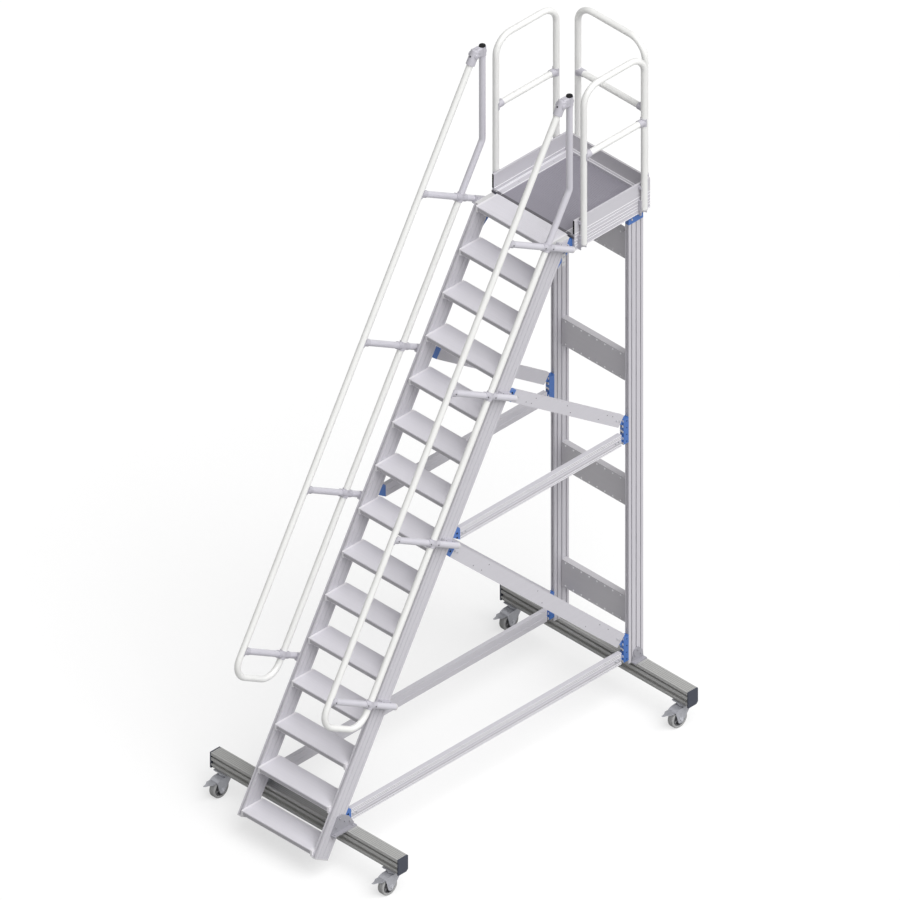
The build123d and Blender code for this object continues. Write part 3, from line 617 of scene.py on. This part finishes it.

# Beams: lips along the grooves, and dark strips on the top, clear of the feet, as painted shade standing in
# for the shade in grooves there
beam_grooves = ((0.25, 0.015), (0.61, 0.026))  # height share down from the top edge, groove width
lip_gap = 0.0014
lip_reach = 0.770
beam_lip = (0.0024, 0.0010, 0.0005)
groove_shade_offsets = (-0.027, -0.0135, 0.0, 0.0135, 0.027)
groove_shade_stretches = ((-0.769, -0.372), (-0.290, 0.290), (0.372, 0.769))
beam_groove_shade = (0.0022, 0.0004)
beam_lips = Fittings()
beam_groove_shades = Fittings()
for line in beam_lines:
    for way in ways:
        face = line + way * beam_depth / 2
        for share, groove in beam_grooves:
            for edge in (-1, 1):
                z = beam_top - share * beam_height + edge * (groove / 2 + lip_gap)
                run_along(beam_lips, (-lip_reach, face, z), (lip_reach, face, z), way * rearward, *beam_lip)
    for offset in groove_shade_offsets:
        y = line + offset
        for start, end in groove_shade_stretches:
            run_along(beam_groove_shades, (start, y, beam_top), (end, y, beam_top), upright, *beam_groove_shade)
beam_lips.finish("beam_lips", "beam", slot="bar_aluminium")
beam_groove_shades.finish("beam_groove_shades", "groove_shade", slot="bar_aluminium")

# Fixings of the frame, gathered by kind
frame_bolts = Fittings()
foot_bolts = Fittings()
dark_screws = Fittings()
bar_highlight_beads = Fittings()
bar_groove_shades = Fittings()
clips = Fittings()
collars = Fittings()

# Guards' feet: the place of each, the direction its bracket's cheeks face, and the way in over the platform
guard_feet = []
for way in ways:
    x = way * (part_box("guard_right")[1].x - tube_radius)
    for y in (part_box("guard_right")[0].y + tube_radius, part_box("guard_right")[1].y - tube_radius):
        guard_feet.append((Vector((x, y, 0)), rearward, -way * across))
    x = way * (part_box("guard_rear")[1].x - tube_radius)
    guard_feet.append((Vector((x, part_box("guard_rear")[0].y + tube_radius, 0)), across, -rearward))

# Brackets: four bolts in each cheek
bracket_bolt = 0.0045
bracket_bolt_inset = 0.009
bracket_bolt_lifts = (0.022, 0.052, 0.082, 0.189)
for foot, cheek, inward in guard_feet:
    for lift in bracket_bolt_lifts:
        bolt_line = foot + bracket_bolt_inset * inward + (frame_bottom + lift) * upright
        for way in ways:
            frame_bolts.bolt(seat(bolt_line + way * clamp_radius * cheek, way * cheek), bracket_bolt)

# Feet of the stringers and posts: bolts in the plates, given behind each beam's line and over its top
foot_bolt = 0.008
foot_plate_gap = 0.008
foot_bolt_turn = 40
foot_bolt_places = (
    (beam_lines[0], ((-0.105, 0.045), (-0.072, 0.092), (-0.035, 0.060), (0.008, 0.040))),
    (beam_lines[1], ((-0.030, 0.045), (-0.006, 0.072), (0.016, 0.040))),
)
flange_bolt_runs = (-0.128, 0.020)
flange_bolt_gap = 0.022
flange_thickness = 0.008
for way in ways:
    for line, places in foot_bolt_places:
        for run, lift in places:
            point = (way * (outer_x + foot_plate_gap), line + run, beam_top + lift)
            foot_bolts.bolt(seat(point, way * across, foot_bolt_turn * run), foot_bolt)
    for run in flange_bolt_runs:
        point = (way * (outer_x + flange_bolt_gap), beam_lines[0] + run, beam_top + flange_thickness)
        foot_bolts.bolt(seat(point, upright), foot_bolt)

# Braces and diagonals: bolts at their ends, pale beads as painted highlights and dark strips as painted groove
# shade on the braces, screws on the diagonals
brace_levels = (0.340, 1.901)
brace_half = 0.015
diagonal_table = ((1.810, 0.464, 0.093), (2.667, 2.035, 0.080))  # height at the stringer, at the post, width
diagonal_half = 0.0125
bar_end_gap = 0.060
bar_bolt = 0.007
bar_bolt_insets = (0.018, 0.046)
brace_bead_shifts = (-0.036, -0.026, 0.016, 0.026, 0.036)
brace_bead = (0.0026, 0.0009, 0.0004)
brace_groove_shade_shifts = (-0.031, -0.014, 0.021, 0.031)
brace_groove_shade = (0.0014, 0.0003)
brace_lines = ((bar_highlight_beads, brace_bead_shifts, brace_bead), (bar_groove_shades, brace_groove_shade_shifts, brace_groove_shade))
diagonal_screws = (  # share of the way to the post, lower or upper edge
    (0.13, -1), (0.18, -1), (0.20, 1), (0.49, 1), (0.54, -1), (0.80, -1), (0.86, 1), (0.91, 1),
)
diagonal_screw_inset = 0.022
diagonal_screw = (0.0030, 0.0006, 0.0008)
wedge_screw_setback = 0.026
wedge_screw_shift = 0.016
wedge_screw = (0.006, 0.003, (0, 0.002, 0.003, 0.001), 16)


def bar_line(way, high, low):
    """A bar's ends at the stringer's and the post's connector, and its upward direction in its side face."""
    start = Vector((way * bar_x, stringer_rear_at(high) + bar_end_gap, high))
    end = Vector((way * bar_x, post_front - bar_end_gap, low))
    return start, end, across.cross((end - start).normalized())


def bar_end_fixings(way, start, end, lift, half):
    """Two bolts at each end of a bar, and two cap screws in the wedge that ties it to the stringer."""
    outward = way * across
    along = (end - start).normalized()
    for inset in bar_bolt_insets:
        for point in (start + inset * along, end - inset * along):
            frame_bolts.bolt(seat(point + half * outward, outward, inset), bar_bolt)
    wedge = start - wedge_screw_setback * along + bar_width / 2 * outward
    for edge in (-1, 1):
        place = seat(wedge + edge * wedge_screw_shift * lift, outward)
        dark_screws.cap_screw(place, *wedge_screw)


for way in ways:
    outward = way * across
    for level in brace_levels:
        start, end, lift = bar_line(way, level, level)
        bar_end_fixings(way, start, end, lift, brace_half)
        for gather, shifts, painted_light_bead in brace_lines:
            for shift in shifts:
                offset = brace_half * outward + shift * lift
                run_along(gather, start + offset, end + offset, outward, *painted_light_bead)
    for high, low, width in diagonal_table:
        start, end, lift = bar_line(way, high, low)
        bar_end_fixings(way, start, end, lift, diagonal_half)
        for share, edge in diagonal_screws:
            to_edge = edge * (width / 2 - diagonal_screw_inset) * lift
            point = start.lerp(end, share) + diagonal_half * outward + to_edge
            dark_screws.button(seat(point, outward), *diagonal_screw)

# Connectors on the posts: screws down the outer side of each block, light clips with a dark stud on its front
block_screw_lifts = (-0.024, 0.024, 0.072, 0.120)
block_screw_setback = 0.016
block_screw = (0.0036, 0.001, 0.0014)
clip_stud = (0.004, 0.005, 0.005, 10)
clip_places = (  # lift of the clip, drop of its stud
    (-0.032, 0.0), (0.004, 0.006), (0.052, 0.006), (0.090, 0.0), (0.128, 0.006),
)
block_depth = 0.042
clip_size = (0.026, 0.014, 0.0035)
for way in ways:
    for level in brace_levels:
        for lift in block_screw_lifts:
            point = (way * (bar_x + bar_width / 2), post_front - block_screw_setback, level + lift)
            dark_screws.button(seat(point, way * across), *block_screw)
        for lift, drop in clip_places:
            place = seat((way * bar_x, post_front - block_depth, level + lift), -rearward)
            clips.block(*clip_size, place, small_edge)
            dark_screws.button(place @ Matrix.Translation((0, -drop, 0)), *clip_stud)

# Connectors of the platform: bolts in the post caps, a light plate with two bolts on each stringer's wedge
cap_bolt_insets = (0.025, 0.095)
cap_bolt_drop = 0.030
wedge_plate_drop = 0.032
wedge_plate_setback = 0.026
wedge_plate_size = (0.030, 0.084, 0.004)
wedge_bolt = 0.006
wedge_bolt_shift = 0.018
for way in ways:
    outward = way * across
    face = way * (bar_x + bar_width / 2)
    for inset in cap_bolt_insets:
        frame_bolts.bolt(seat((face, post_front + inset, frame_bottom - cap_bolt_drop), outward), bar_bolt)
    z = frame_bottom - wedge_plate_drop
    wedge = Vector((face, stringer_rear_at(z) + wedge_plate_setback, z))
    clips.block(*wedge_plate_size, seat(wedge, outward), small_edge)
    for shift in (-wedge_bolt_shift, wedge_bolt_shift):
        point = wedge + wedge_plate_size[2] * outward + shift * upright
        frame_bolts.bolt(seat(point, outward), wedge_bolt)

# Handrails: screws in the saddles on the stringers and in the tees on both tubes
saddle_x = outer_x + 0.030
saddle_screw_run = 0.0198
saddle_screw_outs = (-0.050, -0.110)
saddle_screw = (0.0026, 0.001, 0.0012, 10)
tee_gap = 0.036
tee_screw_outs = (handrail_upper - tee_gap, handrail_lower + tee_gap, handrail_lower - tee_gap)
tee_screw = (0.0042, 0.002, (-0.001, 0.0012, 0.0016, 0.0), 12)
for way in ways:
    outward = way * across
    for t in arm_places:
        for run in (-saddle_screw_run, saddle_screw_run):
            for out in saddle_screw_outs:
                point = along_slope(way * saddle_x, t + run, out)
                dark_screws.button(seat(point, outward), *saddle_screw)
        for out in tee_screw_outs:
            point = along_slope(way * handrail_x, t, out) + clamp_radius * outward
            dark_screws.cap_screw(seat(point, outward), *tee_screw)

# Elbows: a hinge boss with its screw on each cheek, a domed crown, a bridge to the upright's collar, a set
# screw in front, and a rim round the plug
upright_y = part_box("handrail_plugs")[0].y + tube_radius
upright_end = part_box("handrail_plugs")[0].z
knuckle_setback = 0.058
knuckle_y = upright_y - knuckle_setback
knuckle_t = (knuckle_y - first_nosing) / math.cos(slope) + handrail_upper * math.tan(slope) - clamp_radius
cheek_reach = 0.0282
boss_profile = ((0, -0.010), (0.0175, -0.010), (0.0175, 0.0005), (0.0160, 0.002), (0, 0.002))
boss_rise = 0.0018
hinge_screw = (0.0070, 0.0035, (0, 0.0018, 0.0022, 0.0012), 16)
bridge_setback = 0.041
bridge_drop = 0.028
bridge_size = (0.044, 0.044, 0.034)
bridge_edge = 0.008
crown_radius = 0.0279
crown_height = 0.009
crown_gap = 0.0034
crown_angles = (0.0, 0.25, 0.5, 0.75, 1.0, 1.25, 1.45)
set_screw_drop = 0.012
set_screw_out = handrail_upper + 0.0280
set_screw = (0.0052, 0.003, (-0.002, 0.0015, 0.002, 0.001), 14)
rim_profile = ((0.0206, 0), (0.0224, 0), (0.0224, 0.003), (0.0206, 0.003), (0.0206, 0))
rim_drop = 0.0035
for way in ways:
    outward = way * across
    knuckle = along_slope(way * handrail_x, knuckle_t, handrail_upper)
    for face in (-outward, outward):
        cheek = knuckle + cheek_reach * face
        collars.turned(boss_profile, seat(cheek, face), 32)
        collars.cap_screw(seat(cheek + boss_rise * face, face), *hinge_screw)
    bridge = (way * handrail_x, upright_y - bridge_setback, upright_end - bridge_drop)
    collars.block(*bridge_size, Matrix.Translation(bridge), bridge_edge)
    crown = along_slope(way * handrail_x, knuckle_t + clamp_radius + crown_gap, handrail_upper)
    collars.turned(dome(crown_radius, crown_height, crown_angles), seat(crown, up_slope), 36)
    front = along_slope(way * handrail_x, knuckle_t - set_screw_drop, set_screw_out)
    dark_screws.cap_screw(seat(front, out_of_slope), *set_screw)
    collars.turned(rim_profile, Matrix.Translation((way * handrail_x, upright_y, upright_end - rim_drop)), 32)

collars.finish("elbow_collars", "cast", slot="cast_fitting")
frame_bolts.finish("frame_bolts", "bolt", slot="zinc_steel")
foot_bolts.finish("foot_bolts", "foot", slot="zinc_steel")
dark_screws.finish("socket_screws", "black", slot="black_plastic")
bar_highlight_beads.finish("bar_highlight_beads", "painted_light_bead", slot="bar_aluminium")
bar_groove_shades.finish("bar_groove_shades", "groove_shade", slot="bar_aluminium")
clips.finish("connector_clips", "light", slot="light_plastic")

# Tube ends: domes under the end caps of the arms and the guards
cap_height = 0.010
dome_height = 0.006
dome_angles = (0.0, 0.3, 0.6, 0.9, 1.2, 1.4)
end_dome = dome(tube_radius, dome_height, dome_angles)
guard_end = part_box("guard_right")[0].z
domes = Fittings()
for way in ways:
    for t in arm_places:
        arm_foot = along_slope(way * handrail_x, t, -arm_end - cap_height)
        domes.turned(end_dome, seat(arm_foot, -out_of_slope), 28)
for foot, cheek, inward in guard_feet:
    domes.turned(end_dome, seat(foot + (guard_end - cap_height) * upright, -upright), 28)
domes.finish("tube_end_domes", "light", slot="light_plastic")

# Casters: bolts under the top plates, a bearing ring, nuts and washers on the axles, rings and spokes in the
# wheels
caster_trail = 0.048
plate_bolt = 0.008
plate_bolt_spread = (0.042, 0.032)
plate_underside = 0.157
ring_inner, ring_half = 0.036, 0.006
ring_profile = (
    (ring_inner, -ring_half), (0.0385, -0.005), (0.0392, 0.0), (0.0385, 0.005), (ring_inner, ring_half),
    (ring_inner, -ring_half),
)
ring_level = 0.1485
nut_profile = ((0.0085, -0.001), (0.0085, 0.0035), (0.0065, 0.005), (0, 0.005))
washer_profile = ((0, -0.001), (0.017, -0.001), (0.017, 0.0008), (0, 0.0008))
washer_inset = 0.005
web_half = 0.006
rim_ring_profile = ((0.0400, 0), (0.0400, 0.0125), (0.0445, 0.0135), (0.0452, 0.0120), (0.0452, 0))
hub_ring_profile = ((0.0168, 0), (0.0215, 0), (0.0200, 0.0105), (0.0168, 0.0125))
spoke_count = 6
spoke_size = (0.004, 0.0195, 0.008)
spoke_radius = 0.0300
plate_bolts = Fittings()
for corner in corners:
    axle = (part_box(f"wheel_axle_{corner}")[0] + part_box(f"wheel_axle_{corner}")[1]) / 2
    axle_half = (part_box(f"wheel_axle_{corner}")[1].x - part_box(f"wheel_axle_{corner}")[0].x) / 2
    kingpin_y = axle.y + caster_trail
    for way_x in ways:
        for way_y in ways:
            x, y = axle.x + way_x * plate_bolt_spread[0], kingpin_y + way_y * plate_bolt_spread[1]
            plate_bolts.bolt(seat((x, y, plate_underside), -upright), plate_bolt)
    swivel = Fittings()
    rolling = Fittings()
    swivel.turned(ring_profile, Matrix.Translation((axle.x, kingpin_y, ring_level)), 40)
    for outward in (-across, across):
        swivel.turned(nut_profile, seat(axle + axle_half * outward, outward), 6, False)
        swivel.turned(washer_profile, seat(axle + (axle_half - washer_inset) * outward, outward), 28, False)
        face = seat(axle + web_half * outward, outward)
        rolling.turned(rim_ring_profile, face, 48)
        rolling.turned(hub_ring_profile, face, 36)
        for spoke in range(spoke_count):
            spin = Matrix.Rotation(2 * math.pi * spoke / spoke_count, 4, "Z")
            rolling.block(*spoke_size, face @ spin @ Matrix.Translation((0, spoke_radius, 0)), small_edge)
    swivel.finish(f"caster_trim_{corner}", "bolt", slot="zinc_steel", body=f"swivel_{corner}")
    rolling.finish(f"wheel_trim_{corner}", "hub", slot="wheel_plastic", body=f"wheel_{corner}")
plate_bolts.finish("caster_plate_bolts", "bolt", slot="zinc_steel")

# Camera, at the photograph's isometric angle
picture_span = 5.264
view_distance = 20
view_middle = Vector((0, 0.038, 2.221))
view_from = Vector((1, -1, 1)).normalized()
camera = bpy.data.objects.new("camera", bpy.data.cameras.new("camera"))
bpy.context.scene.collection.objects.link(camera)
camera.data.type = "ORTHO"
camera.data.ortho_scale = picture_span
camera.data.clip_end = 5 * view_distance
camera.location = view_middle + view_distance * view_from
camera.rotation_euler = view_from.to_track_quat("Z", "Y").to_euler()
bpy.context.scene.camera = camera

# Pale floor: white to the eye and in reflections, softer in what it throws back on the stairs
floor_reach = 30
floor_corners = [(floor_reach * x, floor_reach * y, 0) for x, y in ((-1, -1), (1, -1), (1, 1), (-1, 1))]
floor_mesh = bpy.data.meshes.new("floor")
floor_mesh.from_pydata(floor_corners, [], [(0, 1, 2, 3)])
floor = bpy.data.objects.new("floor", floor_mesh)
bpy.context.scene.collection.objects.link(floor)


def seen_directly(finish):
    """1 for what the eye, a reflection or glass sees, 0 for soft bounced light."""
    eye, mirror, glass = (
        finish.node("ShaderNodeLightPath", output=name)
        for name in ("Is Camera Ray", "Is Glossy Ray", "Is Transmission Ray")
    )
    return eye.combined("MAXIMUM", mirror).combined("MAXIMUM", glass)


pure_white = (1, 1, 1, 1)
floor_glow_share = 0.62
floor_material, floor_finish = new_material("floor")
bounce = floor_finish.node("ShaderNodeBsdfDiffuse", {}, {"Color": (0.32, 0.32, 0.32, 1)})
shaded = floor_finish.node("ShaderNodeBsdfDiffuse", {}, {"Color": (0.98, 0.98, 0.98, 1)})
plain = floor_finish.node("ShaderNodeEmission", {}, {"Color": pure_white, "Strength": 1.0})
shown = floor_finish.node("ShaderNodeMixShader", {}, {0: floor_glow_share, 1: shaded, 2: plain})
surface = floor_finish.node("ShaderNodeMixShader", {}, {0: seen_directly(floor_finish), 1: bounce, 2: shown})
floor_finish.node("ShaderNodeOutputMaterial", {}, {"Surface": surface})
floor_mesh.materials.append(floor_material)

# Studio light: a wide sky that is brighter on the right, and one broad soft lamp high on the right
world = bpy.data.worlds.new("studio")
bpy.context.scene.world = world
world.use_nodes = True
sky = Finish(world.node_tree)
sky_lean = (0.36, 0.06, 0.10)
sky_level = 0.40
direction = sky.node("ShaderNodeTexCoord", output="Generated")
lean = sky.vector("DOT_PRODUCT", {0: direction, 1: sky_lean}, "Value")
glow = sky.node("ShaderNodeBackground", {}, {"Color": pure_white, "Strength": lean + sky_level})
white = sky.node("ShaderNodeBackground", {}, {"Color": pure_white, "Strength": 1.0})
surface = sky.node("ShaderNodeMixShader", {}, {0: seen_directly(sky), 1: glow, 2: white})
sky.node("ShaderNodeOutputWorld", {}, {"Surface": surface})

lamp_side = Vector((0.56, -0.09, 0.80))
lamp = bpy.data.objects.new("lamp", bpy.data.lights.new("lamp", "SUN"))
lamp.data.energy = 2.5
lamp.data.angle = math.radians(50)
lamp.rotation_euler = lamp_side.to_track_quat("Z", "Y").to_euler()
bpy.context.scene.collection.objects.link(lamp)

bpy.context.scene.view_settings.view_transform = "Standard"
